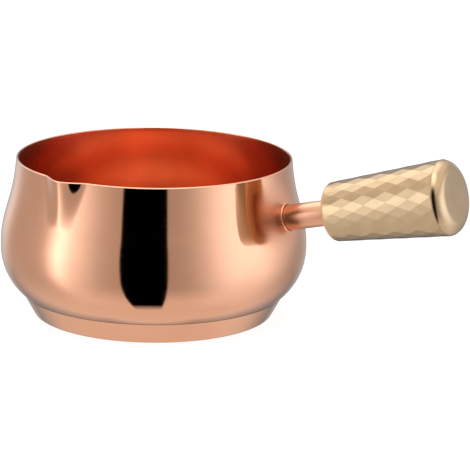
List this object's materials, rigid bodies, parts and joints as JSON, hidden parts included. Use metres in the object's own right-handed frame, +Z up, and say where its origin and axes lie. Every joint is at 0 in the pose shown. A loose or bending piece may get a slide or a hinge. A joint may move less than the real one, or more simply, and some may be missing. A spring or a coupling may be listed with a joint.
{
  "type": "saucepan",
  "caption": "Bellied copper saucepan with a pinched pouring lip, a capsule base and a rising tube stem that carries a faceted gold grip.",
  "frame": {"origin": "middle of the foot's underside, on the surface that the pan stands on", "axes": "+Z up along the pan's axis, +X along the handle seen from above"},
  "size_m": [0.2517, 0.1582, 0.0996],
  "materials": {
    "copper_shell": "spun copper, mirror polished outside and satin inside",
    "copper_base": "pressed copper, mirror polished on its side",
    "core_aluminium": "plain pressed disc, sealed in",
    "copper_stem": "polished copper tube",
    "fastener_steel": "plain turned steel, sealed in",
    "heat_plastic": "black heat-resistant moulding",
    "gold_grip": "champagne gold anodised, satin facets",
    "gold_cap": "champagne gold anodised, satin turned cap"
  },
  "bodies": {
    "root": {"pan_body": "copper_shell", "base_cap": "copper_base", "heat_disc": "core_aluminium", "stem_flange": "copper_stem", "handle_stem": "copper_stem", "stem_insert": "fastener_steel", "heat_washer": "heat_plastic", "grip_sleeve": "gold_grip", "handle_screw": "fastener_steel", "flat_washer": "fastener_steel", "spring_washer": "fastener_steel", "end_cap": "gold_cap"}
  },
  "joints": []
}
